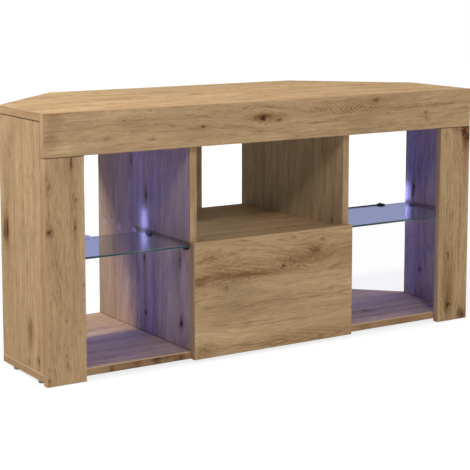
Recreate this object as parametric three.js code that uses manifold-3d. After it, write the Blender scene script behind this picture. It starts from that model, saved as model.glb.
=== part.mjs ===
import * as THREE from 'three';
import { mergeVertices } from 'three/addons/utils/BufferGeometryUtils.js';
import Module from 'manifold-3d';

const wasm = await Module();
wasm.setup();

// Corner TV cabinet, in millimetres, +Z up. The origin is the middle of its footprint on the floor.
// The fascia faces -Y, and the straight back edge with its two slanted flanks faces +Y.

// Carcass
const cabinetWidth = 1000;
const cabinetDepth = 395;
const cabinetHeight = 500;
const endDepth = 195;
const backWidth = 600;
const boardThickness = 15;
const boardChamfer = 0.6;
const legWidth = 80;
const legFloorGap = 0.5;
const fasciaHeight = 80;
const sideBayWidth = 296;
const shelfTopHeight = 229;
const stileWidth = 120;

// Glides under the bottom board
const glideHeight = 6;
const glideRadius = 7;
const glideFootRadius = 6.2;
const glideFlangeHeight = 1.6;
const endGlideInset = 8;
const endGlideFrontInset = 25;
const endGlideBackInset = 46;
const dividerGlideFrontInset = 45;
const dividerGlideBackInset = 35;

// Drawer
const pullLipHeight = 6;
const drawerFrontSideGap = 0.5;
const drawerBoardThickness = 12;
const drawerBackClearance = 45;
const drawerSideHeight = 120;
const drawerPanelThickness = 3;
const drawerPanelRise = 10;
const grooveDepth = 6;
const grooveGap = 0.3;

// Drawer runners with rollers
const runnerGap = 12.5;
const runnerSheet = 1.2;
const runnerFrontInset = 3;
const runnerBackInset = 17;
const runnerHeightAboveBase = 20;
const railFlangeWidth = 9;
const footWidth = 12;
const lipWidth = 9.5;
const rollerRadius = 7.5;
const rollerWidth = 6;
const rollerWallGap = 2.4;
const axleRadius = 2.3;
const axleClearance = 0.05;
const rollerEndInset = 12;
const runningGap = 0.4;
const topFlangeGap = 1;

// Glass shelves and the ledges that carry them
const glassThickness = 4;
const glassTopHeight = 229.5;
const glassFrontSetback = 2;
const glassSideGap = 0.5;
const glassChamfer = 0.4;
const ledgeReach = 9;
const ledgeWidth = 9;
const ledgeHeight = 5;
const ledgePinRadius = 2.5;
const ledgePinLength = 8;
const ledgeFrontInset = 6;
const ledgeBackInset = 28;

// Screws that hold the centre shelf, and the round caps over their heads
const screwLength = 50;
const screwRadius = 3.2;
const screwTipLength = 4;
const screwHeadRadius = 5;
const screwHeadHeight = 2.5;
const screwHeadSink = 0.3;
const screwSocketRadius = 2;
const screwSocketDepth = 2;
const screwCount = 3;
const screwFrontInset = 43;
const screwBackInset = 14;
const capRadius = 8.5;
const capHeight = 1.2;
const capEdgeHeight = 0.6;
const capFaceRadius = 7.6;

// Lights: a clip on each glass edge, a lead to each, and the driver box under the top board
const clipWidth = 15;
const clipJaw = 2.2;
const clipGrip = 7;
const clipBack = 5.7;
const clipChamfer = 0.6;
const clipKnobRadius = 2.4;
const clipKnobRise = 1.3;
const leadRiseOverGlass = 0.5;
const leftClipFromDivider = 131;
const rightClipFromDivider = 226;
const leadRadius = 1.5;
const leadBendRadius = 14;
const driverWidth = 90;
const driverDepth = 50;
const driverHeight = 22;
const driverChamfer = 2;
const inletRadius = 2.8;
const inletDepth = 12;
const notchWidth = 10;
const notchDepth = 18;

// Clearance between pieces that touch, and how far a cutting tool runs past a face
const seatGap = 0.3;
const overrun = 2;

// Segment counts
const roundSegments = 24;
const leadSides = 8;
const leadSteps = 64;

// Planes and places that follow from the driving dimensions
const halfWidth = cabinetWidth / 2;
const frontY = -cabinetDepth / 2;
const backY = cabinetDepth / 2;
const carcassFrontY = frontY + boardThickness;
const endBackY = frontY + endDepth;
const baseTop = glideHeight + boardThickness;
const topUnder = cabinetHeight - boardThickness;
const legTop = cabinetHeight - fasciaHeight;
const dividerOuterX = halfWidth - boardThickness - sideBayWidth;
const dividerInnerX = dividerOuterX - boardThickness;
const stileFrontY = backY - boardThickness;
const shelfUnder = shelfTopHeight - boardThickness;
const glassUnder = glassTopHeight - glassThickness;
const glassFrontY = carcassFrontY + glassFrontSetback;
const glassBackY = endBackY;
const leadY = glassBackY + seatGap + leadRadius;

const railBottom = baseTop + runnerHeightAboveBase;
const rollerZ = railBottom + runnerSheet + runningGap + rollerRadius;
const lipUnder = rollerZ + rollerRadius + runningGap;
const lipTop = lipUnder + runnerSheet;
const railTop = lipTop + topFlangeGap + runnerSheet;
const sideBottom = railBottom + runnerSheet;
const sideOuterX = dividerInnerX - runnerGap;
const sideInnerX = sideOuterX - drawerBoardThickness;
const drawerBackY = stileFrontY - drawerBackClearance;
const panelUnder = sideBottom + drawerPanelRise;
const panelTop = panelUnder + drawerPanelThickness;
const runnerFrontY = carcassFrontY + runnerFrontInset;
const runnerBackY = drawerBackY - runnerBackInset;
const frontRollerY = runnerFrontY + rollerEndInset;
const rearRollerY = runnerBackY - rollerEndInset;

// Finishes, from the photograph
const oakColour = 0xb08f68;
const drawerBoardColour = 0xd8d4cc;
const fibreboardColour = 0x9c7b56;
const glassColour = 0xa9c4bf;
const zincColour = 0xb8babd;
const whitePlasticColour = 0xe6e4de;
const darkPlasticColour = 0x1c1a20;
const glideColour = 0x968c7c;
const paleClipColour = 0xcfd2ea;
const capColour = 0xb59d85;

const model = new THREE.Group();

function addPiece(name, geometry, colour, roughness, metalness = 0) {
  const material = new THREE.MeshStandardMaterial({ color: colour, roughness, metalness });
  const mesh = new THREE.Mesh(geometry, material);
  mesh.name = name;
  model.add(mesh);
  return mesh;
}

function sideName(side) {
  return side < 0 ? 'left' : 'right';
}

// A closed geometry becomes a solid that can be joined and cut.
function solidFrom(geometry) {
  const bare = geometry.clone();
  bare.deleteAttribute('normal');
  bare.deleteAttribute('uv');
  const merged = mergeVertices(bare);
  const mesh = new wasm.Mesh({
    numProp: 3,
    vertProperties: new Float32Array(merged.attributes.position.array),
    triVerts: new Uint32Array(merged.index.array),
  });
  return new wasm.Manifold(mesh);
}

function geometryFrom(solid) {
  const mesh = solid.getMesh();
  const geometry = new THREE.BufferGeometry();
  geometry.setAttribute('position', new THREE.BufferAttribute(new Float32Array(mesh.vertProperties), 3));
  geometry.setIndex(new THREE.BufferAttribute(new Uint32Array(mesh.triVerts), 1));
  geometry.computeVertexNormals();
  return geometry;
}

function cut(geometry, tools) {
  let solid = solidFrom(geometry);
  for (const tool of tools) {
    solid = solid.subtract(solidFrom(tool));
  }
  return geometryFrom(solid);
}

function join(geometries) {
  let solid = solidFrom(geometries[0]);
  for (const geometry of geometries.slice(1)) {
    solid = solid.add(solidFrom(geometry));
  }
  return geometryFrom(solid);
}

// A plain block between two corners.
function block(x0, x1, y0, y1, z0, z1) {
  const geometry = new THREE.BoxGeometry(x1 - x0, y1 - y0, z1 - z0);
  geometry.translate((x0 + x1) / 2, (y0 + y1) / 2, (z0 + z1) / 2);
  return geometry;
}

// The same block between two distances from the middle plane, on the side asked for.
function sideBlock(side, near, far, y0, y1, z0, z1) {
  const x0 = Math.min(side * near, side * far);
  const x1 = Math.max(side * near, side * far);
  return block(x0, x1, y0, y1, z0, z1);
}

function shapeFrom(points) {
  return new THREE.Shape(points.map(([u, v]) => new THREE.Vector2(u, v)));
}

function rectangle(u0, u1, v0, v1) {
  return shapeFrom([[u0, v0], [u1, v0], [u1, v1], [u0, v1]]);
}

// An outline becomes a board whose long edges are eased, with its outline on the widest section.
function easedPlate(shape, thickness, chamfer) {
  const geometry = new THREE.ExtrudeGeometry(shape, {
    depth: thickness - 2 * chamfer,
    steps: 1,
    bevelEnabled: true,
    bevelThickness: chamfer,
    bevelSize: chamfer,
    bevelOffset: -chamfer,
    bevelSegments: 1,
  });
  geometry.translate(0, 0, chamfer);
  return geometry;
}

// A board lying flat, from its outline in X and Y and its underside.
function flatBoard(shape, under, thickness, chamfer) {
  const geometry = easedPlate(shape, thickness, chamfer);
  geometry.translate(0, 0, under);
  return geometry;
}

// A board standing across the cabinet, from its outline in X and Z and its front face.
function crossBoard(shape, faceY, thickness, chamfer) {
  const geometry = easedPlate(shape, thickness, chamfer);
  const turn = new THREE.Matrix4().makeBasis(
    new THREE.Vector3(1, 0, 0), new THREE.Vector3(0, 0, 1), new THREE.Vector3(0, -1, 0));
  geometry.applyMatrix4(turn);
  geometry.translate(0, faceY + thickness, 0);
  return geometry;
}

// A board standing front to back, from its outline in Y and Z and its lower X face.
function depthBoard(shape, faceX, thickness, chamfer) {
  const geometry = easedPlate(shape, thickness, chamfer);
  const turn = new THREE.Matrix4().makeBasis(
    new THREE.Vector3(0, 1, 0), new THREE.Vector3(0, 0, 1), new THREE.Vector3(1, 0, 0));
  geometry.applyMatrix4(turn);
  geometry.translate(faceX, 0, 0);
  return geometry;
}

// A section in X and Z, drawn along Y.
function drawnAlongY(shape, y0, y1) {
  const geometry = new THREE.ExtrudeGeometry(shape, { depth: y1 - y0, steps: 1, bevelEnabled: false });
  const turn = new THREE.Matrix4().makeBasis(
    new THREE.Vector3(1, 0, 0), new THREE.Vector3(0, 0, 1), new THREE.Vector3(0, -1, 0));
  geometry.applyMatrix4(turn);
  geometry.translate(0, y1, 0);
  return geometry;
}

// A turned piece whose profile of radius and distance runs along +X or -X from the origin.
function turnedAlongX(profile, direction) {
  const points = profile.map(([radius, along]) => new THREE.Vector2(radius, along));
  const geometry = new THREE.LatheGeometry(points, roundSegments);
  geometry.rotateZ(-direction * Math.PI / 2);
  return geometry;
}

// A turned piece that stands along Z.
function turnedAlongZ(profile) {
  const points = profile.map(([radius, along]) => new THREE.Vector2(radius, along));
  const geometry = new THREE.LatheGeometry(points, roundSegments);
  geometry.rotateX(Math.PI / 2);
  return geometry;
}

// A round pin or hole along X between two distances from the middle plane.
function sidePin(side, near, far, radius, y, z) {
  const geometry = new THREE.CylinderGeometry(radius, radius, far - near, roundSegments);
  geometry.rotateZ(Math.PI / 2);
  geometry.translate(side * (near + far) / 2, y, z);
  return geometry;
}

// The plan that the top and bottom boards share: square at the ends and slanted towards the back.
function planOutline() {
  return shapeFrom([
    [-halfWidth, carcassFrontY],
    [halfWidth, carcassFrontY],
    [halfWidth, endBackY],
    [backWidth / 2, backY],
    [-backWidth / 2, backY],
    [-halfWidth, endBackY],
  ]);
}

function addHorizontalBoards() {
  const top = flatBoard(planOutline(), topUnder, boardThickness, boardChamfer);
  const bottom = flatBoard(planOutline(), glideHeight, boardThickness, boardChamfer);
  addPiece('top_board', top, oakColour, 0.5);
  addPiece('bottom_board', bottom, oakColour, 0.5);
}

function addFrontBoards() {
  const fascia = rectangle(-halfWidth, halfWidth, legTop, cabinetHeight);
  addPiece('fascia_board', crossBoard(fascia, frontY, boardThickness, boardChamfer), oakColour, 0.5);
  for (const side of [-1, 1]) {
    const inner = side * (halfWidth - legWidth);
    const outer = side * halfWidth;
    const leg = rectangle(Math.min(inner, outer), Math.max(inner, outer), legFloorGap, legTop);
    const geometry = crossBoard(leg, frontY, boardThickness, boardChamfer);
    addPiece(`${sideName(side)}_leg_board`, geometry, oakColour, 0.5);
  }
}

// Places of the two ledges along the depth of each side bay.
function ledgePlaces() {
  return [glassFrontY + ledgeFrontInset, glassBackY - ledgeBackInset];
}

// Blind holes for the ledge pins, drilled into a face from the side bay.
function ledgeHoles(side, face, inwards) {
  return ledgePlaces().map((y) => {
    const bottom = face + inwards * (ledgePinLength + seatGap);
    const mouth = face - inwards * overrun;
    const z = glassUnder - ledgeHeight / 2;
    return sidePin(side, Math.min(bottom, mouth), Math.max(bottom, mouth), ledgePinRadius + seatGap, y, z);
  });
}

function addEndPanels() {
  for (const side of [-1, 1]) {
    const outline = rectangle(carcassFrontY, endBackY, baseTop, topUnder);
    const lowFace = side < 0 ? -halfWidth : halfWidth - boardThickness;
    const board = depthBoard(outline, lowFace, boardThickness, boardChamfer);
    const panel = cut(board, ledgeHoles(side, halfWidth - boardThickness, 1));
    addPiece(`${sideName(side)}_end_panel`, panel, oakColour, 0.5);
  }
}

// The screws stand in a row between the glass shelf and the back stile.
function screwPlaces() {
  const first = glassBackY + screwFrontInset;
  const last = stileFrontY - screwBackInset;
  const pitch = (last - first) / (screwCount - 1);
  return Array.from({ length: screwCount }, (_, index) => first + index * pitch);
}

const screwZ = shelfTopHeight - boardThickness / 2;

// The room a shelf screw needs in the divider and in the end of the shelf.
function screwHoles(side) {
  return screwPlaces().flatMap((y) => [
    sidePin(side, dividerOuterX - screwHeadSink - screwHeadHeight - seatGap, dividerOuterX + overrun,
      screwHeadRadius + seatGap, y, screwZ),
    sidePin(side, dividerOuterX - screwHeadSink - screwLength - seatGap, dividerOuterX + overrun,
      screwRadius + seatGap, y, screwZ),
  ]);
}

// Full-depth upright with a notch at the top for the lamp lead.
function addDividers() {
  for (const side of [-1, 1]) {
    const outline = shapeFrom([
      [carcassFrontY, baseTop],
      [backY, baseTop],
      [backY, topUnder],
      [leadY + notchWidth / 2, topUnder],
      [leadY + notchWidth / 2, topUnder - notchDepth],
      [leadY - notchWidth / 2, topUnder - notchDepth],
      [leadY - notchWidth / 2, topUnder],
      [carcassFrontY, topUnder],
    ]);
    const lowFace = side < 0 ? -dividerOuterX : dividerInnerX;
    const board = depthBoard(outline, lowFace, boardThickness, boardChamfer);
    const divider = cut(board, [...screwHoles(side), ...ledgeHoles(side, dividerOuterX, -1)]);
    addPiece(`${sideName(side)}_divider`, divider, oakColour, 0.5);
  }
}

function addCentreShelf() {
  const outline = rectangle(-dividerInnerX, dividerInnerX, carcassFrontY, stileFrontY);
  const board = flatBoard(outline, shelfUnder, boardThickness, boardChamfer);
  const shelf = cut(board, [...screwHoles(-1), ...screwHoles(1)]);
  addPiece('centre_shelf', shelf, oakColour, 0.5);
}

// Upright in the middle of the back, from the bottom board to the top board.
function addBackStile() {
  const outline = rectangle(-stileWidth / 2, stileWidth / 2, baseTop, topUnder);
  addPiece('back_stile', crossBoard(outline, stileFrontY, boardThickness, boardChamfer), oakColour, 0.5);
}

function addShelfScrews() {
  for (const side of [-1, 1]) {
    screwPlaces().forEach((y, index) => {
      const shankEnd = screwLength - screwTipLength;
      const profile = [
        [0, screwSocketDepth],
        [screwSocketRadius, screwSocketDepth],
        [screwSocketRadius, 0],
        [screwHeadRadius, 0],
        [screwHeadRadius, screwHeadHeight],
        [screwRadius, screwHeadHeight],
        [screwRadius, shankEnd],
        [0, screwLength],
      ];
      const screw = addPiece(`${sideName(side)}_shelf_screw_${index + 1}`,
        turnedAlongX(profile, -side), zincColour, 0.35, 0.9);
      screw.position.set(side * (dividerOuterX - screwHeadSink), y, screwZ);

      const capProfile = [
        [0, 0],
        [capRadius, 0],
        [capRadius, capEdgeHeight],
        [capFaceRadius, capHeight],
        [0, capHeight],
      ];
      const cap = addPiece(`${sideName(side)}_screw_cap_${index + 1}`,
        turnedAlongX(capProfile, side), capColour, 0.55);
      cap.position.set(side * dividerOuterX, y, screwZ);
    });
  }
}

function addGlides() {
  const places = [
    ['front', halfWidth - endGlideInset, carcassFrontY + endGlideFrontInset],
    ['middle', halfWidth - endGlideInset, endBackY - endGlideBackInset],
    ['inner', dividerOuterX - boardThickness / 2, carcassFrontY + dividerGlideFrontInset],
    ['back', dividerOuterX - boardThickness / 2, backY - dividerGlideBackInset],
  ];
  const profile = [
    [0, 0],
    [glideFootRadius, 0],
    [glideRadius, glideHeight - glideFlangeHeight],
    [glideRadius, glideHeight],
    [0, glideHeight],
  ];
  for (const side of [-1, 1]) {
    for (const [place, distance, y] of places) {
      const glide = addPiece(`${sideName(side)}_${place}_glide`, turnedAlongZ(profile), glideColour, 0.5);
      glide.position.set(side * distance, y, 0);
    }
  }
}

// Drawer front with a groove that holds the edge of the bottom panel.
function addDrawerFront() {
  const halfFront = dividerOuterX - drawerFrontSideGap;
  const outline = rectangle(-halfFront, halfFront, glideHeight, shelfTopHeight + pullLipHeight);
  const board = crossBoard(outline, frontY, boardThickness, boardChamfer);
  const halfGroove = sideInnerX + grooveDepth;
  const groove = block(-halfGroove, halfGroove, carcassFrontY - grooveDepth, carcassFrontY + overrun,
    panelUnder - grooveGap, panelTop + grooveGap);
  addPiece('drawer_front', cut(board, [groove]), oakColour, 0.5);
}

// Drawer sides are drawn from a section with the groove in the inner face.
function addDrawerSides() {
  const sideTop = sideBottom + drawerSideHeight;
  const grooveX = sideInnerX + grooveDepth;
  for (const side of [-1, 1]) {
    const points = [
      [sideInnerX, sideBottom],
      [sideOuterX, sideBottom],
      [sideOuterX, sideTop],
      [sideInnerX, sideTop],
      [sideInnerX, panelTop + grooveGap],
      [grooveX, panelTop + grooveGap],
      [grooveX, panelUnder - grooveGap],
      [sideInnerX, panelUnder - grooveGap],
    ];
    const section = shapeFrom(points.map(([x, z]) => [side * x, z]));
    const geometry = drawnAlongY(section, carcassFrontY, drawerBackY);
    addPiece(`drawer_${sideName(side)}_side`, geometry, drawerBoardColour, 0.6);
  }
}

function addDrawerBackAndBottom() {
  const back = block(-sideInnerX, sideInnerX, drawerBackY - drawerBoardThickness, drawerBackY,
    panelTop, sideBottom + drawerSideHeight);
  addPiece('drawer_back', back, drawerBoardColour, 0.6);
  const halfPanel = sideInnerX + grooveDepth - grooveGap;
  const panel = block(-halfPanel, halfPanel, carcassFrontY - grooveDepth + grooveGap, drawerBackY,
    panelUnder, panelTop);
  addPiece('drawer_bottom', panel, fibreboardColour, 0.7);
}

// Channel on the divider, open towards the drawer, with the axle of its front roller.
function addCabinetRails() {
  for (const side of [-1, 1]) {
    const wall = dividerInnerX;
    const mouth = wall - railFlangeWidth;
    const points = [
      [wall, railBottom],
      [wall, railTop],
      [mouth, railTop],
      [mouth, railTop - runnerSheet],
      [wall - runnerSheet, railTop - runnerSheet],
      [wall - runnerSheet, railBottom + runnerSheet],
      [mouth, railBottom + runnerSheet],
      [mouth, railBottom],
    ];
    const section = shapeFrom(points.map(([x, z]) => [side * x, z]));
    const channel = drawnAlongY(section, runnerFrontY, runnerBackY);
    const axle = sidePin(side, wall - rollerWallGap - rollerWidth, wall - runnerSheet / 2,
      axleRadius, frontRollerY, rollerZ);
    addPiece(`${sideName(side)}_cabinet_rail`, join([channel, axle]), zincColour, 0.4, 0.9);
  }
}

// Stepped strip under the drawer side: a foot below it, a web, and the lip that runs on the roller.
function addDrawerRails() {
  for (const side of [-1, 1]) {
    const web = sideOuterX + runnerSheet;
    const lipEnd = sideOuterX + lipWidth;
    const points = [
      [sideOuterX - footWidth, sideBottom - runnerSheet],
      [web, sideBottom - runnerSheet],
      [web, lipUnder],
      [lipEnd, lipUnder],
      [lipEnd, lipTop],
      [sideOuterX, lipTop],
      [sideOuterX, sideBottom],
      [sideOuterX - footWidth, sideBottom],
    ];
    const section = shapeFrom(points.map(([x, z]) => [side * x, z]));
    const strip = drawnAlongY(section, runnerFrontY, runnerBackY);
    const axle = sidePin(side, sideOuterX + runnerSheet / 2, dividerInnerX - rollerWallGap,
      axleRadius, rearRollerY, rollerZ);
    addPiece(`drawer_${sideName(side)}_rail`, join([strip, axle]), zincColour, 0.4, 0.9);
  }
}

function addRollers() {
  const half = rollerWidth / 2;
  const bore = axleRadius + axleClearance;
  const profile = [
    [bore, -half],
    [rollerRadius, -half],
    [rollerRadius, half],
    [bore, half],
    [bore, -half],
  ];
  const places = [['cabinet', frontRollerY], ['drawer', rearRollerY]];
  for (const side of [-1, 1]) {
    const x = side * (dividerInnerX - rollerWallGap - half);
    for (const [owner, y] of places) {
      const roller = addPiece(`${sideName(side)}_${owner}_roller`, turnedAlongX(profile, 1), whitePlasticColour, 0.4);
      roller.position.set(x, y, rollerZ);
    }
  }
}

function addGlassShelves() {
  const near = dividerOuterX + glassSideGap;
  const far = halfWidth - boardThickness - glassSideGap;
  for (const side of [-1, 1]) {
    const outline = rectangle(Math.min(side * near, side * far), Math.max(side * near, side * far),
      glassFrontY, glassBackY);
    const glass = flatBoard(outline, glassUnder, glassThickness, glassChamfer);
    addPiece(`${sideName(side)}_glass_shelf`, glass, glassColour, 0.05);
  }
}

// Each ledge is a small block under the glass with a pin in the board behind it.
function addGlassLedges() {
  const z = glassUnder - ledgeHeight / 2;
  const walls = [
    ['outer', halfWidth - boardThickness, -1],
    ['inner', dividerOuterX, 1],
  ];
  for (const side of [-1, 1]) {
    for (const [wallName, face, away] of walls) {
      ledgePlaces().forEach((y, index) => {
        const tip = face + away * ledgeReach;
        const shelf = sideBlock(side, face, tip, y - ledgeWidth / 2, y + ledgeWidth / 2,
          glassUnder - ledgeHeight, glassUnder);
        const pinEnd = face - away * ledgePinLength;
        const pinStart = face + away * ledgeHeight / 2;
        const pin = sidePin(side, Math.min(pinEnd, pinStart), Math.max(pinEnd, pinStart), ledgePinRadius, y, z);
        const place = index === 0 ? 'front' : 'back';
        addPiece(`${sideName(side)}_${wallName}_${place}_ledge`, join([shelf, pin]), darkPlasticColour, 0.5);
      });
    }
  }
}

// Distance of each light clip's middle from the middle plane.
function clipDistance(side) {
  return dividerOuterX + (side < 0 ? leftClipFromDivider : rightClipFromDivider);
}

// The clip grips the back edge of the glass with two jaws. A round knob stands through its back.
function addLightClips() {
  const slotEnd = glassBackY + seatGap;
  const knobHeight = glassThickness + 2 * (seatGap + clipJaw + clipKnobRise);
  const outline = shapeFrom([
    [glassBackY - clipGrip, glassUnder - seatGap - clipJaw],
    [slotEnd + clipBack, glassUnder - seatGap - clipJaw],
    [slotEnd + clipBack, glassTopHeight + seatGap + clipJaw],
    [glassBackY - clipGrip, glassTopHeight + seatGap + clipJaw],
    [glassBackY - clipGrip, glassTopHeight + seatGap],
    [slotEnd, glassTopHeight + seatGap],
    [slotEnd, glassUnder - seatGap],
    [glassBackY - clipGrip, glassUnder - seatGap],
  ]);
  for (const side of [-1, 1]) {
    const lowFace = side * clipDistance(side) - clipWidth / 2;
    const clip = depthBoard(outline, lowFace, clipWidth, clipChamfer);
    const knob = new THREE.CylinderGeometry(clipKnobRadius, clipKnobRadius, knobHeight, roundSegments);
    knob.rotateX(Math.PI / 2);
    knob.translate(side * clipDistance(side), slotEnd + clipBack / 2, (glassUnder + glassTopHeight) / 2);
    const colour = side < 0 ? paleClipColour : darkPlasticColour;
    addPiece(`${sideName(side)}_light_clip`, join([clip, knob]), colour, 0.45);
  }
}

// A route of straight runs with a round bend at each inner corner.
function roundedRoute(corners, radius) {
  const route = new THREE.CurvePath();
  let start = corners[0];
  for (let index = 1; index < corners.length - 1; index += 1) {
    const corner = corners[index];
    const back = corners[index - 1].clone().sub(corner).setLength(radius).add(corner);
    const ahead = corners[index + 1].clone().sub(corner).setLength(radius).add(corner);
    route.add(new THREE.LineCurve3(start, back));
    route.add(new THREE.QuadraticBezierCurve3(back, corner, ahead));
    start = ahead;
  }
  route.add(new THREE.LineCurve3(start, corners[corners.length - 1]));
  return route;
}

// Each lead leaves its clip along the glass edge, climbs a board and runs under the top board
// through the notch of the divider to the driver box. The left one climbs the end panel.
function addLeads() {
  const glassLeadZ = glassTopHeight + leadRiseOverGlass;
  const upperLeadZ = topUnder - seatGap - leadRadius;
  const boxSide = driverWidth / 2 + seatGap;
  const climbX = {
    left: -(halfWidth - boardThickness - seatGap - leadRadius),
    right: dividerOuterX + seatGap + leadRadius,
  };
  const section = new THREE.Shape();
  section.absarc(0, 0, leadRadius, 0, 2 * Math.PI, false);
  for (const side of [-1, 1]) {
    const name = sideName(side);
    const startX = side * clipDistance(side) - clipWidth / 2 - seatGap;
    const corners = [
      new THREE.Vector3(startX, leadY, glassLeadZ),
      new THREE.Vector3(climbX[name], leadY, glassLeadZ),
      new THREE.Vector3(climbX[name], leadY, upperLeadZ),
      new THREE.Vector3(side * boxSide, leadY, upperLeadZ),
    ];
    const geometry = new THREE.ExtrudeGeometry(section, {
      steps: leadSteps,
      curveSegments: leadSides,
      extrudePath: roundedRoute(corners, leadBendRadius),
    });
    addPiece(`${name}_light_lead`, geometry, darkPlasticColour, 0.5);
  }
}

function addDriverBox() {
  const outline = rectangle(-driverWidth / 2, driverWidth / 2, leadY - driverDepth / 2, leadY + driverDepth / 2);
  const box = flatBoard(outline, topUnder - driverHeight, driverHeight, driverChamfer);
  const inlet = new THREE.CylinderGeometry(inletRadius, inletRadius, inletDepth + overrun, roundSegments);
  inlet.translate(0, leadY + driverDepth / 2 - (inletDepth - overrun) / 2, topUnder - driverHeight / 2);
  addPiece('light_driver_box', cut(box, [inlet]), darkPlasticColour, 0.5);
}

addHorizontalBoards();
addFrontBoards();
addEndPanels();
addDividers();
addCentreShelf();
addBackStile();
addShelfScrews();
addGlides();
addDrawerFront();
addDrawerSides();
addDrawerBackAndBottom();
addCabinetRails();
addDrawerRails();
addRollers();
addGlassShelves();
addGlassLedges();
addLightClips();
addLeads();
addDriverBox();

export default model;
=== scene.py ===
import math

import bmesh
import bpy
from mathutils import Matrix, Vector


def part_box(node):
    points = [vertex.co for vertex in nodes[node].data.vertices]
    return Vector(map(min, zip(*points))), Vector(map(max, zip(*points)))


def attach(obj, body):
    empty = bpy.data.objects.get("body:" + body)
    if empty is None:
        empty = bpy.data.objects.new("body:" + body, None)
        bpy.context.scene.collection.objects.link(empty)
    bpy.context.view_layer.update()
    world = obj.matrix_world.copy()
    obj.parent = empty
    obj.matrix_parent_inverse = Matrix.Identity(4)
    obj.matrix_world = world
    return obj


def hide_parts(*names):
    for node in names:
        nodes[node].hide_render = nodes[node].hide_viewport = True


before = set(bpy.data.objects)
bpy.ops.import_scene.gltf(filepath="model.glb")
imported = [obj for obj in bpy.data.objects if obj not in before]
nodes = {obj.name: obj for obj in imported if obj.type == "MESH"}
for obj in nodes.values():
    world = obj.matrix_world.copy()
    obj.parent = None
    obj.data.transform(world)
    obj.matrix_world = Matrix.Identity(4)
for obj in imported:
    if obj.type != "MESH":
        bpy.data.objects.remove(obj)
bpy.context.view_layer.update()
scene = bpy.context.scene

# Camera: fitted to the cabinet's corners in the photograph, with part of its lens shift made as a tilt
CAMERA_PLACE = (-1.598165, -2.541486, 0.757942)
CAMERA_YAW = math.radians(32.544)
CAMERA_PITCH = math.radians(-7.7297)
CAMERA_LENS = 111.803
CAMERA_SHIFT_X = 0.005136
CAMERA_SHIFT_Y = -0.15

# Lamps: place, aim, size across and high, and how bright a facing white surface becomes
MIDDLE_AIM = (0, 0, 0.25)
HIGH_AIM = (0, 0, 0.3)
LEFT_AIM = (-0.3, 0, 0.25)
TOP_AIM = (0.3, 0, 0.5)
LAMPS = {
    "key": ((-0.55, -2.45, 2.25), MIDDLE_AIM, (0.3, 0.3), 0.21),
    "left": ((-1.98, -0.17, 2.55), LEFT_AIM, (0.25, 0.6), 0.94),
    "left_front": ((-2.2, -1.3, 1.6), LEFT_AIM, (0.4, 0.4), 0.13),
    "front": ((0.5, -3.0, 0.9), MIDDLE_AIM, (1.6, 1.6), 0.23),
    "right": ((2.4, -2.0, 1.8), HIGH_AIM, (1.6, 1.6), 0.05),
    "top": ((1.3, -0.2, 2.8), TOP_AIM, (1.2, 1.2), 0.42),
}
BACK_LAMP = ((0.9, 2.4, 0.6), HIGH_AIM, (1.0, 1.0), 0.2)
WORLD_LEVEL = 0.036
WHITE = (1.0, 1.0, 1.0, 1.0)

# What glass and mirrors show of the surroundings: dim, as the photograph's glass is blue-grey before white
DUSK_COLOUR = (0.40, 0.45, 0.82, 1.0)
MIRROR_COLOUR = (0.22, 0.17, 0.11, 1.0)

# Violet light: washes from the glass's back edge both ways and from its front edge, and spots on the walls
WASH_COLOUR = (0.0, 0.08, 1.0)
WASH_POWER = 0.23
WASH_BACK_SHARE = 1.2
WASH_FRONT_SHARE = 0.7
WASH_GAP = 0.004
SPOT_COLOUR = (0.15, 0.22, 1.0)
SPOT_POWER = 0.016
SPOT_RIGHT_SHARE = 1.6
SPOT_WALL_GAP = 0.014
SPOT_WIDTH = 0.004
SPOT_OVER = (0.006, 0.040)
SPOT_UNDER = (0.004, 0.016)

# A faint blue fill across the niche from its left wall
NICHE_COLOUR = (0.47, 0.75, 1.0)
NICHE_POWER = 0.16
NICHE_GAP = 0.002
NICHE_REACH_SHARE = 0.8
NICHE_HEIGHT_SHARE = 0.5

# Floor: its size, its colour for light, and what the camera sees, a faint shade that ends in white
FLOOR_SIZE = 14.0
FLOOR_DROP = 0.0004
FLOOR_ALBEDO = 0.54
FLOOR_SHADE_SHARE = 0.22
FLOOR_GLOW_NEAR = 0.80
FLOOR_NEAR = 1.0
FLOOR_FAR = 3.0

FULL_CIRCLE = 2 * math.pi
X, Y, Z = 0, 1, 2

# Planes of the carcass that marks, painted seam shade and lamps lie on
TOP_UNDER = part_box("top_board")[0].z
FASCIA_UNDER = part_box("fascia_board")[0].z
BASE_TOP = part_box("bottom_board")[1].z
CARCASS_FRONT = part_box("bottom_board")[0].y

# The curve of screen colours
SCREEN_WHITE = 255
SCREEN_KNEE = 0.04045
SCREEN_SLOPE = 12.92
SCREEN_OFFSET = 0.055
SCREEN_POWER = 2.4


def srgb(red, green, blue):
    """The linear colour of a screen colour given from 0 to 255."""
    def linear(value):
        share = value / SCREEN_WHITE
        if share <= SCREEN_KNEE:
            return share / SCREEN_SLOPE
        return ((share + SCREEN_OFFSET) / (1 + SCREEN_OFFSET)) ** SCREEN_POWER
    return (linear(red), linear(green), linear(blue), 1.0)


def grey(value):
    return (value, value, value, 1.0)


# Node helpers
NOISE_MIDDLE = 0.5


def put(graph, socket, value):
    """Links a socket to another, or sets its own value."""
    if isinstance(value, bpy.types.NodeSocket):
        graph.links.new(value, socket)
    else:
        socket.default_value = value


def node(graph, kind, inputs=None, **settings):
    made = graph.nodes.new("ShaderNode" + kind)
    for name, value in settings.items():
        setattr(made, name, value)
    for key, value in (inputs or {}).items():
        put(graph, made.inputs[key], value)
    return made


def calc(graph, operation, first, second=0.0, third=0.0, clamp=False):
    made = node(graph, "Math", {0: first, 1: second, 2: third}, operation=operation, use_clamp=clamp)
    return made.outputs[0]


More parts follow.
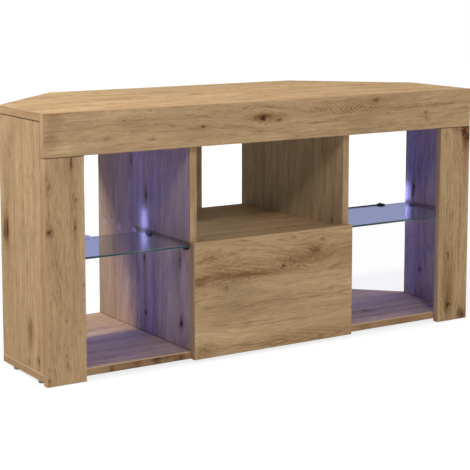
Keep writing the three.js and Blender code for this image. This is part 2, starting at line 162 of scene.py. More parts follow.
def vector_calc(graph, operation, first, second=(0, 0, 0)):
    made = node(graph, "VectorMath", {0: first, 1: second}, operation=operation)
    return made.outputs["Value" if operation in ("DOT_PRODUCT", "LENGTH") else "Vector"]


def combine(graph, x, y, z):
    return node(graph, "CombineXYZ", {0: x, 1: y, 2: z}).outputs[0]


def separate(graph, vector):
    return node(graph, "SeparateXYZ", {0: vector}).outputs


def fade(graph, value, start, end, low=0.0, high=1.0):
    """Goes smoothly from low to high as value goes from start to end."""
    made = node(graph, "MapRange", {0: value, 1: start, 2: end, 3: low, 4: high},
                interpolation_type="SMOOTHSTEP")
    return made.outputs[0]


def number_mix(graph, factor, first, second):
    return node(graph, "Mix", {0: factor, 2: first, 3: second}).outputs[0]


def colour_mix(graph, factor, first, second):
    return node(graph, "Mix", {0: factor, 6: first, 7: second}, data_type="RGBA").outputs[2]


def noise(graph, vector, scales, detail, roughness):
    """Noise from 0 to 1 around one half, with its own scale along each axis."""
    scaled = vector_calc(graph, "MULTIPLY", vector, scales)
    made = node(graph, "TexNoise", {"Vector": scaled, "Scale": 1.0, "Detail": detail, "Roughness": roughness})
    return made.outputs[0]


def centred(graph, value):
    return calc(graph, "SUBTRACT", value, NOISE_MIDDLE)


def bell(graph, vector):
    """One where the vector is zero, falling off smoothly with its length."""
    squared = vector_calc(graph, "DOT_PRODUCT", vector, vector)
    return calc(graph, "EXPONENT", calc(graph, "MULTIPLY", squared, -1.0))


def new_graph(name):
    material = bpy.data.materials.new(name)
    material.use_nodes = True
    material.node_tree.nodes.clear()
    return material, material.node_tree


def finish_surface(graph, shader):
    node(graph, "OutputMaterial", {"Surface": shader})


def bumped(graph, height, strength, distance):
    made = node(graph, "Bump", {"Height": height, "Strength": strength, "Distance": distance})
    return made.outputs[0]


def object_place(graph):
    return node(graph, "TexCoord").outputs["Object"]


def true_normal(graph):
    return node(graph, "NewGeometry").outputs["True Normal"]


def principled(graph, colour, roughness, normal, more=None):
    """The shader of a surface; more holds further inputs by name."""
    inputs = {"Base Color": colour, "Roughness": roughness, "Normal": normal, **(more or {})}
    return node(graph, "BsdfPrincipled", inputs).outputs[0]


# Oak
OAK_LIGHT = srgb(204, 175, 136)
OAK_MIDDLE = srgb(186, 155, 117)
OAK_DARK = srgb(153, 121, 87)
OAK_PATCH = srgb(150, 124, 98)
OAK_STAIN = srgb(126, 92, 61)
OAK_CORE = srgb(66, 42, 26)
OAK_LINE = srgb(126, 91, 60)
OAK_EDGE = srgb(164, 131, 98)
OAK_WORN = srgb(212, 184, 146)
# Painted shade at seams where boards meet
OAK_SEAM_SHADE = srgb(58, 38, 26)
# Painted shade band beside the glass shelf
OAK_BAND_SHADE = srgb(112, 82, 40)
# Painted highlight along the bottom board's upper rim
OAK_RIM_HIGHLIGHT = srgb(226, 190, 150)
OAK_SHEEN = 0.05
OAK_SWAY = 0.045
OAK_RIPPLE = 0.010
OAK_BUMP_SHARE = 0.25
OAK_BUMP_DEPTH = 0.0002
OAK_ROUGHNESS = 0.62

# Edge faces: marks on them lie this far along, and their noise lies at a depth of its own
EDGE_SHIFT = 9.0
EDGE_DEPTH = 0.3
EDGE_SHARE = 0.6
EDGE_RANGE = (0.80, 0.70)

# Masks: rubbed wear and a painted highlight along rims, painted shade at seams and beside the glass
WEAR_WIDTH = 0.0016
SEAM_REACH = 0.0024
SEAM_DEPTH = 0.0010
BAND_CORE_SHARE = 0.55
LEFT_FACING_RANGE = (-0.4, -0.8)

# Oak noise: waves a metre along, across and through the grain, then detail and roughness
OAK_NOISES = {
    "rough": ((150, 210, 1), 3.0, 0.65),
    "sway": ((1.8, 5.0, 1), 1.0, 0.5),
    "ripple": ((9.0, 22.0, 1), 2.0, 0.5),
    "broad": ((2.4, 44, 1), 2.0, 0.5),
    "middle": ((8.0, 210, 1), 3.0, 0.65),
    "streak": ((32, 330, 1), 2.0, 0.7),
    "fine": ((45, 900, 1), 2.0, 0.6),
    "dashes": ((48, 400, 7), 1.0, 0.5),
    "patch": ((6.0, 17.0, 1), 3.0, 0.6),
    "pores": ((90, 1800, 1), 1.0, 0.5),
}

# How far each noise tints the foil, and between which tints its colours lie
TINT_START = 0.5
TINT_SHARES = {"broad": 1.0, "middle": 1.2, "streak": 0.9, "fine": 0.6}
DARK_RANGE = (0.05, 0.5)
LIGHT_RANGE = (0.5, 0.95)
DASH_RANGE = (0.58, 0.74)
DASH_SHARE = 0.45
PATCH_RANGE = (0.48, 0.74)
PATCH_SHARE = 0.5
PORE_RANGE = (0.60, 0.75)
PORE_SHARE = 0.30
PORE_ROUGH_SHARE = 0.12
PORE_DEPTH_SHARE = 0.7
FINE_ROUGH_SHARE = 0.25
STAIN_STREAK_SHARE = 2.4
STAIN_BASE_SHARE = 0.8

# Knots and stains
MARK_ROUGH_SHARE = 2.2
HALO_RANGE = (2.4, 0.2)
CORE_RANGE = (0.95, 0.2)
CORE_SHARE = 0.92
CORE_DEPTH_SHARE = 0.5
FLARE_SHARES = (0.20, 0.80, 0)
FLARE_STAIN_SHARE = 0.35
PUSH_SHARES = (0.30, 0.30, 0)
PUSH_SHARE = 0.85

# Growth lines
SWIRL_TIP_SHARE = 0.15
SWIRL_ROUGH_SHARE = 1.5
SWIRL_WAVE_RANGE = (-0.2, 1.0)
SWIRL_RIM_RANGE = (1.3, 0.3)


def oak_noise(graph, name, vector, narrow_share=1.0):
    (along, across, through), detail, roughness = OAK_NOISES[name]
    return noise(graph, vector, (along, across * narrow_share, through), detail, roughness)


def mark_masks(graph, place, rough, marks, masks):
    """Adds knots and stains: each bends the grain round it, darkens its middle and stains what is near."""
    bend, core, stain = masks
    for along, across, long, wide, dark, spread in marks:
        offset = vector_calc(graph, "SUBTRACT", place, (along, across, 0))
        scaled = vector_calc(graph, "MULTIPLY", offset, (1 / long, 1 / wide, 0))
        distance = vector_calc(graph, "LENGTH", scaled)
        distance = calc(graph, "MULTIPLY_ADD", rough, MARK_ROUGH_SHARE, distance)
        halo = fade(graph, distance, *HALO_RANGE, 0.0, spread)
        stain = calc(graph, "ADD", stain, halo)
        if dark > 0:
            inside = fade(graph, distance, *CORE_RANGE, 0.0, CORE_SHARE * dark)
            core = calc(graph, "MAXIMUM", core, inside)
            flare = bell(graph, vector_calc(graph, "MULTIPLY", scaled, FLARE_SHARES))
            stain = calc(graph, "MULTIPLY_ADD", flare, FLARE_STAIN_SHARE * dark, stain)
            near = bell(graph, vector_calc(graph, "MULTIPLY", scaled, PUSH_SHARES))
            push = calc(graph, "MULTIPLY", separate(graph, offset)[Y], near)
            bend = calc(graph, "MULTIPLY_ADD", push, -PUSH_SHARE, bend)
    return bend, core, stain


def arched(graph, place, arches, bend):
    """Lifts the grain in places: the middle, how far the arch reaches, how high, and its lift."""
    for along, across, long, high, lift in arches:
        offset = vector_calc(graph, "SUBTRACT", place, (along, across, 0))
        near = bell(graph, vector_calc(graph, "MULTIPLY", offset, (1 / long, 1 / high, 0)))
        bend = calc(graph, "MULTIPLY_ADD", near, -lift, bend)
    return bend


def swirl_lines(graph, place, rough, swirls):
    """Nested pointed growth lines: the tip, their reach and height, their slope, spacing and strength."""
    lines = 0.0
    for along, across, long, high, slope, spacing, strength in swirls:
        offset = vector_calc(graph, "SUBTRACT", place, (along, across, 0))
        du, dv, _ = separate(graph, offset)
        softened = calc(graph, "SQRT", calc(graph, "MULTIPLY_ADD", dv, dv, (SWIRL_TIP_SHARE * high) ** 2))
        forward = calc(graph, "MULTIPLY", du, math.copysign(1.0, long))
        step = calc(graph, "MULTIPLY_ADD", softened, -slope, forward)
        step = calc(graph, "MULTIPLY_ADD", rough, spacing * SWIRL_ROUGH_SHARE, step)
        wave = calc(graph, "SINE", calc(graph, "MULTIPLY", step, FULL_CIRCLE / spacing))
        wave = fade(graph, wave, *SWIRL_WAVE_RANGE)
        middle = vector_calc(graph, "SUBTRACT", offset, (long / 2, 0, 0))
        middle = vector_calc(graph, "MULTIPLY", middle, (2 / abs(long), 1 / high, 0))
        mask = vector_calc(graph, "DOT_PRODUCT", middle, middle)
        mask = fade(graph, mask, *SWIRL_RIM_RANGE, 0.0, strength)
        lines = calc(graph, "MULTIPLY_ADD", wave, mask, lines)
    return lines


def distance_to(graph, value, at):
    return calc(graph, "ABSOLUTE", calc(graph, "SUBTRACT", value, at))


def wear_mask(graph, place, box, axes):
    """One at the rim of the board's box, zero a little further in."""
    mask = 0.0
    for axis in axes:
        low, high = box[0][axis], box[1][axis]
        half = (high - low) / 2
        away = distance_to(graph, place[axis], (low + high) / 2)
        mask = calc(graph, "MAXIMUM", mask, fade(graph, away, half - WEAR_WIDTH, half))
    return mask


def seam_shade_and_rim_highlight_mask(graph, place, seams):
    """Near given planes, each an axis, a place and a strength: painted shade at seams and a painted rim
    highlight.
    """
    mask = 0.0
    for axis, at, strength in seams:
        away = distance_to(graph, place[axis], at)
        mask = calc(graph, "MAXIMUM", mask, fade(graph, away, SEAM_REACH, SEAM_DEPTH, 0.0, strength))
    return mask


def glass_band_shade_mask(graph, place, sideways, ends, heights, strength):
    """A faint painted shade band on a wall's left face beside the glass shelf, soft at its rim and faded at
    the back.
    """
    along = fade(graph, place[Y], ends[1], ends[0], 0.0, strength)
    along = calc(graph, "MULTIPLY", along, fade(graph, sideways, *LEFT_FACING_RANGE))
    half = (heights[1] - heights[0]) / 2
    away = distance_to(graph, place[Z], sum(heights) / 2)
    return calc(graph, "MULTIPLY", along, fade(graph, away, half, half * BAND_CORE_SHARE))


def board_places(graph, along, across, through, seed):
    """The place, the normal, the mask of edge faces, the place for noise and the place for marks."""
    place = separate(graph, object_place(graph))
    normal = separate(graph, true_normal(graph))
    edge = fade(graph, calc(graph, "ABSOLUTE", normal[through]), *EDGE_RANGE)
    edge_run = calc(graph, "SUBTRACT",
                    calc(graph, "MULTIPLY", place[along], normal[across]),
                    calc(graph, "MULTIPLY", place[across], normal[along]))
    run = number_mix(graph, edge, place[along], edge_run)
    rise = number_mix(graph, edge, place[across], place[through])
    depth = calc(graph, "ADD", number_mix(graph, edge, place[through], EDGE_DEPTH), seed)
    face = combine(graph, calc(graph, "MULTIPLY_ADD", edge, EDGE_SHIFT, place[along]), place[across], 0.0)
    return place, normal, edge, (run, rise, depth), face


def natural_bend(graph, board, face, arches, wavy_share):
    """How far the grain strays to the side before knots push it."""
    sway = centred(graph, oak_noise(graph, "sway", board))
    ripple = centred(graph, oak_noise(graph, "ripple", board))
    bend = calc(graph, "MULTIPLY", sway, OAK_SWAY * wavy_share)
    bend = calc(graph, "MULTIPLY_ADD", ripple, OAK_RIPPLE * wavy_share, bend)
    return arched(graph, face, arches, bend)


def printed_colour(graph, waves, patch, pores, dashes, edge):
    """The colour of the plain foil: a tint from the waves, then patches, pores, dashes and edge faces."""
    tint = TINT_START
    for wave, share in TINT_SHARES.items():
        tint = calc(graph, "MULTIPLY_ADD", waves[wave], share, tint)
    colour = colour_mix(graph, fade(graph, tint, *DARK_RANGE), OAK_DARK, OAK_MIDDLE)
    colour = colour_mix(graph, fade(graph, tint, *LIGHT_RANGE), colour, OAK_LIGHT)
    colour = colour_mix(graph, patch, colour, OAK_PATCH)
    colour = colour_mix(graph, calc(graph, "MULTIPLY", pores, PORE_SHARE), colour, OAK_LINE)
    colour = colour_mix(graph, dashes, colour, OAK_LINE)
    return colour_mix(graph, calc(graph, "MULTIPLY", edge, EDGE_SHARE), colour, OAK_EDGE)


def marked_colour(graph, colour, streaks, stain, core):
    """Stains that follow the streaks, with the dark cores over them."""
    streaked = calc(graph, "MULTIPLY_ADD", streaks, STAIN_STREAK_SHARE, STAIN_BASE_SHARE)
    stain = calc(graph, "MULTIPLY", stain, streaked, clamp=True)
    colour = colour_mix(graph, stain, colour, OAK_STAIN)
    return colour_mix(graph, core, colour, OAK_CORE)


def oak(name, along, across, seed, box, marks=(), swirls=(), seams=(), arches=(),
        narrow_share=1.0, wavy_share=1.0, dash_share=DASH_SHARE, band=None, rim_highlight_share=0.0):
    """Oak foil on a board whose grain runs along one axis; across is the other axis of its broad face."""
    material, graph = new_graph("oak_" + name)
    through = X + Y + Z - along - across
    place, normal, edge, (run, rise, depth), face = board_places(graph, along, across, through, seed)
    board = combine(graph, run, rise, depth)
    rough = centred(graph, oak_noise(graph, "rough", board))
    bend = natural_bend(graph, board, face, arches, wavy_share)
    bend, core, stain = mark_masks(graph, face, rough, marks, (bend, 0.0, 0.0))
    grain = combine(graph, run, calc(graph, "ADD", rise, bend), depth)

    waves = {
        "broad": centred(graph, oak_noise(graph, "broad", grain)),
        "middle": centred(graph, oak_noise(graph, "middle", grain, narrow_share)),
        "streak": centred(graph, oak_noise(graph, "streak", grain, narrow_share)),
        "fine": centred(graph, oak_noise(graph, "fine", grain)),
    }
    dashes = fade(graph, oak_noise(graph, "dashes", grain, narrow_share), *DASH_RANGE, 0.0, dash_share)
    patch = fade(graph, oak_noise(graph, "patch", board), *PATCH_RANGE, 0.0, PATCH_SHARE)
    pores = fade(graph, oak_noise(graph, "pores", grain), *PORE_RANGE)

    colour = printed_colour(graph, waves, patch, pores, dashes, edge)
    if swirls:
        colour = colour_mix(graph, swirl_lines(graph, face, rough, swirls), colour, OAK_LINE)
    colour = marked_colour(graph, colour, waves["middle"], stain, core)
    worn = calc(graph, "MULTIPLY", wear_mask(graph, place, box, (along, across)), patch)
    colour = colour_mix(graph, worn, colour, OAK_WORN)
    # Painted shade along the seams
    colour = colour_mix(graph, seam_shade_and_rim_highlight_mask(graph, place, seams), colour, OAK_SEAM_SHADE)
    # Painted highlight along the upper rim of the edge faces
    if rim_highlight_share:
        upper_rim_highlight = seam_shade_and_rim_highlight_mask(graph, place, [(through, box[1][through], rim_highlight_share)])
        colour = colour_mix(graph, calc(graph, "MULTIPLY", edge, upper_rim_highlight), colour, OAK_RIM_HIGHLIGHT)
    # Painted shade band beside the glass shelf
    if band:
        colour = colour_mix(graph, glass_band_shade_mask(graph, place, normal[X], *band), colour, OAK_BAND_SHADE)

    roughness = calc(graph, "MULTIPLY_ADD", waves["fine"], FINE_ROUGH_SHARE, OAK_ROUGHNESS)
    roughness = calc(graph, "MULTIPLY_ADD", pores, PORE_ROUGH_SHARE, roughness)
    height = calc(graph, "MULTIPLY_ADD", pores, -PORE_DEPTH_SHARE, waves["fine"])
    height = calc(graph, "MULTIPLY_ADD", core, -CORE_DEPTH_SHARE, height)
    normal = bumped(graph, height, OAK_BUMP_SHARE, OAK_BUMP_DEPTH)
    finish_surface(graph, principled(graph, colour, roughness, normal, {"Specular IOR Level": OAK_SHEEN}))
    return material


# Marks are along, across, half length, half width, darkness of the core and strength of the stain
FASCIA_MARKS = [
    (-0.031, 0.467, 0.014, 0.0075, 1.0, 0.70), (0.007, 0.461, 0.006, 0.0030, 0.7, 0.25),
    (-0.337, 0.478, 0.0045, 0.0025, 0.8, 0.15), (-0.277, 0.440, 0.006, 0.0025, 0.6, 0.2),
    (-0.169, 0.458, 0.005, 0.0032, 0.85, 0.3), (-0.238, 0.464, 0.006, 0.003, 0.35, 0.2),
    (-0.114, 0.454, 0.005, 0.002, 0.45, 0.2), (-0.374, 0.448, 0.010, 0.004, 0.25, 0.2),
    (-0.478, 0.488, 0.011, 0.013, 0.0, 0.40), (-0.488, 0.450, 0.010, 0.012, 0.0, 0.35),
    (0.247, 0.488, 0.014, 0.005, 0.45, 0.4), (0.377, 0.456, 0.004, 0.003, 0.65, 0.2),
    (0.379, 0.443, 0.003, 0.0035, 0.65, 0.2), (0.276, 0.459, 0.006, 0.002, 0.35, 0.15),
    (-0.282, 0.494, 0.004, 0.0018, 0.5, 0.1), (0.079, 0.473, 0.008, 0.003, 0.15, 0.3),
    (0.170, 0.482, 0.090, 0.012, 0.0, 0.18), (-0.20, 0.448, 0.14, 0.008, 0.0, 0.15),
    (-0.022, 0.470, 0.034, 0.0045, 0.0, 0.35),
]

# Swirls are the tip's place along and across, reach, height, slope, spacing and strength
FASCIA_SWIRLS = [
    (0.082, 0.474, 0.175, 0.020, 2.3, 0.0125, 0.50), (0.285, 0.470, 0.120, 0.022, 3.0, 0.016, 0.25),
]

DRAWER_MARKS = [
    (0.017, 0.168, 0.0035, 0.0032, 1.0, 0.3), (0.098, 0.194, 0.012, 0.009, 0.15, 0.45),
    (-0.080, 0.229, 0.004, 0.0018, 0.7, 0.15), (0.043, 0.224, 0.007, 0.003, 0.3, 0.25),
    (0.114, 0.213, 0.006, 0.004, 0.4, 0.3), (-0.116, 0.140, 0.003, 0.005, 0.45, 0.3),
    (0.136, 0.110, 0.007, 0.0025, 0.3, 0.3), (-0.150, 0.200, 0.022, 0.008, 0.2, 0.30),
    (-0.182, 0.157, 0.024, 0.0060, 0.0, 0.58), (-0.122, 0.166, 0.052, 0.0062, 0.0, 0.52),
    (-0.055, 0.163, 0.062, 0.0054, 0.0, 0.60), (0.000, 0.158, 0.060, 0.0048, 0.0, 0.50),
    (-0.100, 0.182, 0.070, 0.0038, 0.0, 0.46), (0.055, 0.177, 0.040, 0.0074, 0.0, 0.55),
    (0.135, 0.180, 0.080, 0.0090, 0.0, 0.50), (0.060, 0.195, 0.040, 0.0050, 0.0, 0.28),
    (0.100, 0.025, 0.100, 0.009, 0.0, 0.34), (-0.166, 0.022, 0.016, 0.010, 0.25, 0.35),
    (-0.184, 0.152, 0.014, 0.008, 0.0, 0.30), (0.100, 0.080, 0.120, 0.006, 0.0, 0.16),
]
DRAWER_SWIRLS = [
    (0.000, 0.166, -0.190, 0.026, 6.0, 0.042, 0.50), (-0.180, 0.204, 0.070, 0.015, 3.0, 0.020, 0.45),
    (0.190, 0.016, -0.230, 0.018, 7.0, 0.045, 0.45), (-0.192, 0.020, 0.060, 0.018, 3.0, 0.020, 0.40),
    (0.020, 0.200, 0.120, 0.012, 5.0, 0.030, 0.30),
]

# Arches are the middle's place along and across, reach, height and lift
DRAWER_ARCHES = [
    (-0.080, 0.170, 0.090, 0.050, 0.022), (0.095, 0.195, 0.050, 0.035, -0.012),
    (-0.140, 0.060, 0.120, 0.050, -0.003),
]

LEFT_LEG_MARKS = [
    (0.407, -0.446, 0.016, 0.0035, 0.75, 0.3), (0.285, -0.492, 0.007, 0.0075, 0.85, 0.5),
    (0.289, -0.440, 0.008, 0.0032, 0.85, 0.3), (0.341, -0.438, 0.0035, 0.0025, 0.7, 0.2),
    (0.367, -0.491, 0.008, 0.006, 0.45, 0.4), (0.175, -0.478, 0.003, 0.002, 0.5, 0.1),
    (0.120, -0.460, 0.003, 0.0025, 0.75, 0.15), (0.011, -0.496, 0.008, 0.004, 0.6, 0.3),
    (0.182, -0.424, 0.005, 0.0025, 0.5, 0.2), (0.036, -0.458, 0.010, 0.004, 0.15, 0.25),
    (0.230, -0.490, 0.030, 0.010, 0.0, 0.18),
]
RIGHT_LEG_MARKS = [
    (0.411, 0.483, 0.017, 0.0070, 1.0, 0.6), (0.398, 0.494, 0.018, 0.0075, 1.0, 0.6),
    (0.405, 0.488, 0.024, 0.0040, 1.0, 0.5), (0.414, 0.464, 0.005, 0.0100, 0.3, 0.45),
    (0.035, 0.447, 0.0085, 0.0062, 0.95, 0.7), (0.010, 0.488, 0.012, 0.0090, 0.75, 0.7),
    (0.020, 0.479, 0.012, 0.0050, 0.4, 0.5), (0.052, 0.449, 0.030, 0.0100, 0.0, 0.45),
    (0.148, 0.445, 0.005, 0.003, 0.5, 0.2), (0.401, 0.434, 0.010, 0.004, 0.2, 0.25),
    (0.090, 0.446, 0.050, 0.012, 0.0, 0.20),
]
RIGHT_LEG_SWIRLS = [
    (0.165, 0.446, -0.160, 0.018, 4.5, 0.030, 0.5), (0.330, 0.468, 0.090, 0.018, 4.0, 0.026, 0.3),
]
LEFT_END_MARKS = [
    (0.268, -0.033, 0.026, 0.0075, 0.90, 0.7), (0.262, -0.020, 0.020, 0.0060, 0.45, 0.6),
    (0.091, -0.128, 0.024, 0.011, 0.25, 0.6), (0.043, -0.163, 0.013, 0.0050, 0.8, 0.5),
    (0.033, -0.120, 0.005, 0.003, 0.5, 0.3), (0.411, -0.051, 0.005, 0.003, 0.4, 0.2),
]
TOP_MARKS = [
    (-0.225, 0.130, 0.008, 0.008, 0.6, 0.45), (-0.310, 0.033, 0.040, 0.006, 0.0, 0.40),
    (-0.067, 0.006, 0.010, 0.007, 0.5, 0.45), (-0.155, -0.089, 0.018, 0.006, 0.3, 0.35),
    (0.062, -0.050, 0.030, 0.006, 0.35, 0.45), (0.369, 0.011, 0.012, 0.007, 0.5, 0.45),
    (0.418, -0.020, 0.025, 0.006, 0.3, 0.4), (-0.398, -0.052, 0.060, 0.005, 0.0, 0.3),
    (0.183, -0.017, 0.050, 0.005, 0.0, 0.3), (-0.18, 0.038, 0.050, 0.005, 0.0, 0.25),
]
LEFT_DIVIDER_MARKS = [
    (0.303, -0.010, 0.012, 0.0060, 0.95, 0.5), (0.175, -0.002, 0.011, 0.0045, 0.8, 0.4),
    (0.062, -0.006, 0.007, 0.0050, 0.9, 0.4), (0.069, -0.148, 0.012, 0.0075, 0.95, 0.5),
    (0.369, 0.050, 0.014, 0.0045, 0.6, 0.4), (0.239, 0.139, 0.004, 0.0025, 0.7, 0.2),
    (0.189, -0.144, 0.014, 0.0060, 0.6, 0.4), (0.150, -0.135, 0.050, 0.006, 0.0, 0.3),
]
RIGHT_END_MARKS = [
    (0.270, -0.032, 0.016, 0.0055, 0.95, 0.5), (0.249, -0.028, 0.008, 0.0040, 0.9, 0.3),
    (0.083, -0.057, 0.006, 0.0050, 0.8, 0.3), (0.300, -0.05, 0.03, 0.006, 0.2, 0.3),
]
RIGHT_DIVIDER_MARKS = [
    (0.239, -0.146, 0.004, 0.0032, 0.9, 0.3), (0.330, 0.118, 0.030, 0.016, 0.0, 0.30),
    (0.381, -0.139, 0.030, 0.010, 0.0, 0.30), (0.110, 0.050, 0.010, 0.006, 0.8, 0.4),
]
BOTTOM_MARKS = [
    (-0.30, -0.02, 0.040, 0.010, 0.0, 0.4), (0.30, -0.10, 0.008, 0.006, 0.7, 0.4),
    (-0.24, 0.075, 0.030, 0.008, 0.1, 0.35),
]

# Marks on the bottom board's front edge: along, half length, darkness of the core and strength of the stain
FRONT_EDGE_MARKS = [
    (-0.264, 0.013, 1.0, 0.6), (-0.335, 0.030, 0.0, 0.6), (-0.361, 0.004, 0.3, 0.4),
    (-0.243, 0.009, 0.4, 0.5), (-0.306, 0.006, 0.2, 0.4), (-0.212, 0.007, 0.4, 0.5),
    (-0.225, 0.020, 0.0, 0.5), (0.235, 0.012, 0.0, 0.5), (0.330, 0.030, 0.0, 0.5),
]
FRONT_EDGE_MARK_WIDTH = 0.006
BOTTOM_MARKS += [
    (EDGE_SHIFT + along, CARCASS_FRONT, long, FRONT_EDGE_MARK_WIDTH, dark, spread)
    for along, long, dark, spread in FRONT_EDGE_MARKS
]
SHELF_MARKS = [(-0.12, 0.09, 0.008, 0.006, 0.6, 0.35), (0.08, 0.02, 0.060, 0.008, 0.0, 0.25)]
STILE_MARKS = [(0.25, 0.03, 0.007, 0.004, 0.8, 0.3), (0.11, -0.02, 0.010, 0.005, 0.7, 0.4)]

# Painted shade at seams where boards meet: an axis, the plane's place on it and the strength
END_SEAM_SHADES = [(Z, TOP_UNDER, 0.85), (Z, BASE_TOP, 0.2), (Y, CARCASS_FRONT, 0.3)]
LEG_SEAM_SHADES = [(Z, FASCIA_UNDER, 0.7)]
WALL_SEAM_SHADES = [(Z, TOP_UNDER, 0.7), (Z, BASE_TOP, 0.6)]

# Painted shade band beside the glass: its reach under and over the glass, and the depths between which it
# fades
BAND_UNDER_GLASS = 0.003
BAND_OVER_GLASS = 0.007
BAND_ENDS = (0.030, 0.055)
BAND_STRENGTH_SHARE = 0.6
GLASS_UNDER, GLASS_TOP = [corner.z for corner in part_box("left_glass_shelf")]
BAND_HEIGHTS = (GLASS_UNDER - BAND_UNDER_GLASS, GLASS_TOP + BAND_OVER_GLASS)
SHELF_SHADE_BAND = (BAND_ENDS, BAND_HEIGHTS, BAND_STRENGTH_SHARE)

# Boards: the axes of the grain and across it, and what each board has of its own
OAK_BOARDS = {
    "top_board": dict(along=X, across=Y, marks=TOP_MARKS, narrow_share=0.35),
    "bottom_board": dict(along=X, across=Y, marks=BOTTOM_MARKS, rim_highlight_share=0.7),
    "centre_shelf": dict(along=X, across=Y, marks=SHELF_MARKS),
    "fascia_board": dict(along=X, across=Z, marks=FASCIA_MARKS, swirls=FASCIA_SWIRLS,
                         wavy_share=0.8, dash_share=0.3),
    "drawer_front": dict(along=X, across=Z, marks=DRAWER_MARKS, swirls=DRAWER_SWIRLS,
                         arches=DRAWER_ARCHES, wavy_share=0.4, dash_share=0.25),
    "left_leg_board": dict(along=Z, across=X, marks=LEFT_LEG_MARKS, seams=LEG_SEAM_SHADES),
    "right_leg_board": dict(along=Z, across=X, marks=RIGHT_LEG_MARKS, swirls=RIGHT_LEG_SWIRLS,
                            seams=LEG_SEAM_SHADES),
    "back_stile": dict(along=Z, across=X, marks=STILE_MARKS, seams=WALL_SEAM_SHADES),
    "left_end_panel": dict(along=Z, across=Y, marks=LEFT_END_MARKS, seams=END_SEAM_SHADES),
    "right_end_panel": dict(along=Z, across=Y, marks=RIGHT_END_MARKS, seams=END_SEAM_SHADES, band=SHELF_SHADE_BAND),
    "left_divider": dict(along=Z, across=Y, marks=LEFT_DIVIDER_MARKS, seams=WALL_SEAM_SHADES,
                         band=SHELF_SHADE_BAND, dash_share=0.3),
    "right_divider": dict(along=Z, across=Y, marks=RIGHT_DIVIDER_MARKS, seams=WALL_SEAM_SHADES,
                          dash_share=0.25),
}

# Each board's noise lies this far from the one before
SEED_STEP = 3.7


# Noise of the other materials: waves a metre along each axis, then detail and roughness
PART_NOISES = {
    "glass_smears": ((9, 14, 9), 3.0, 0.5),
    "glass_bands": ((16, 16, 300), 2.0, 0.5),
    "glass_grind": ((400, 400, 4000), 1.0, 0.5),
    "plastic_cloud": ((60, 60, 60), 3.0, 0.6),
    "plastic_skin": ((900, 900, 900), 2.0, 0.5),
    "plastic_rub": ((190, 190, 190), 3.0, 0.7),
    "steel_lines_along_x": ((20, 1600, 1600), 2.0, 0.5),
    "steel_lines_along_y": ((1600, 20, 1600), 2.0, 0.5),
    "steel_patches": ((45, 45, 45), 3.0, 0.6),
    "foil_streaks": ((60, 5, 420), 3.0, 0.5),
    "foil_threads": ((900, 120, 900), 1.0, 0.5),
    "foil_cloud": ((8, 8, 8), 2.0, 0.5),
    "fibres": ((420, 420, 420), 4.0, 0.7),
    "fibre_clumps": ((60, 60, 60), 3.0, 0.6),
    "fibre_flecks": ((1100, 300, 300), 1.0, 0.5),
}


def part_noise(graph, name, place):
    return noise(graph, place, *PART_NOISES[name])


# Glass
GLASS_TINT = srgb(214, 222, 238)
GLASS_FACE_TINT = srgb(236, 244, 242)
GLASS_SHADE = (0.35, 0.36, 0.50, 1.0)
GLASS_EDGE = srgb(52, 84, 90)
GLASS_EDGE_PALE = srgb(120, 140, 146)
GLASS_IOR = 1.4
GLASS_EDGE_RANGE = (0.8, 0.6)
GLASS_EDGE_CLOUD_SHARE = 0.85
GLASS_FACING_BLEND = 0.35
GLASS_FACING_RANGE = (0.25, 0.9)
GLASS_SMEAR_RANGE = (0.3, 0.8, 0.0, 0.12)
GLASS_BAND_RANGE = (0.52, 0.72)
GLASS_FACE_ROUGH_RANGE = (0.4, 0.8, 0.01, 0.05)
GLASS_EDGE_ROUGH_RANGE = (0.3, 0.7, 0.22, 0.34)
GLASS_BUMP_SHARE = 0.15
GLASS_BUMP_DEPTH = 0.0001


def glass():
    """Clear float glass: pale when looked through, bluer at a flat angle, with dark ground edges."""
    material, graph = new_graph("shelf_glass")
    place = object_place(graph)
    normal = separate(graph, true_normal(graph))
    edge = fade(graph, calc(graph, "ABSOLUTE", normal[Z]), *GLASS_EDGE_RANGE)
    facing = node(graph, "LayerWeight", {"Blend": GLASS_FACING_BLEND}).outputs["Facing"]
    smears = part_noise(graph, "glass_smears", place)
    clear = colour_mix(graph, fade(graph, facing, *GLASS_FACING_RANGE), GLASS_FACE_TINT, GLASS_TINT)
    clear = colour_mix(graph, fade(graph, smears, *GLASS_SMEAR_RANGE), clear, GLASS_TINT)
    bands = part_noise(graph, "glass_bands", place)
    ground = colour_mix(graph, fade(graph, bands, *GLASS_BAND_RANGE), GLASS_EDGE, GLASS_EDGE_PALE)
    colour = colour_mix(graph, edge, clear, ground)
    grind = part_noise(graph, "glass_grind", place)
    roughness = number_mix(graph, edge, fade(graph, smears, *GLASS_FACE_ROUGH_RANGE),
                           fade(graph, grind, *GLASS_EDGE_ROUGH_RANGE))
    normal = bumped(graph, calc(graph, "MULTIPLY", grind, edge), GLASS_BUMP_SHARE, GLASS_BUMP_DEPTH)
    clearness = calc(graph, "MULTIPLY_ADD", edge, -GLASS_EDGE_CLOUD_SHARE, 1.0)
    solid = principled(graph, colour, roughness, normal, {"IOR": GLASS_IOR, "Transmission Weight": clearness})
    see_through = node(graph, "BsdfTransparent", {"Color": GLASS_SHADE}).outputs[0]
    shadow = node(graph, "LightPath").outputs["Is Shadow Ray"]
    finish_surface(graph, node(graph, "MixShader", {0: shadow, 1: solid, 2: see_through}).outputs[0])
    return material


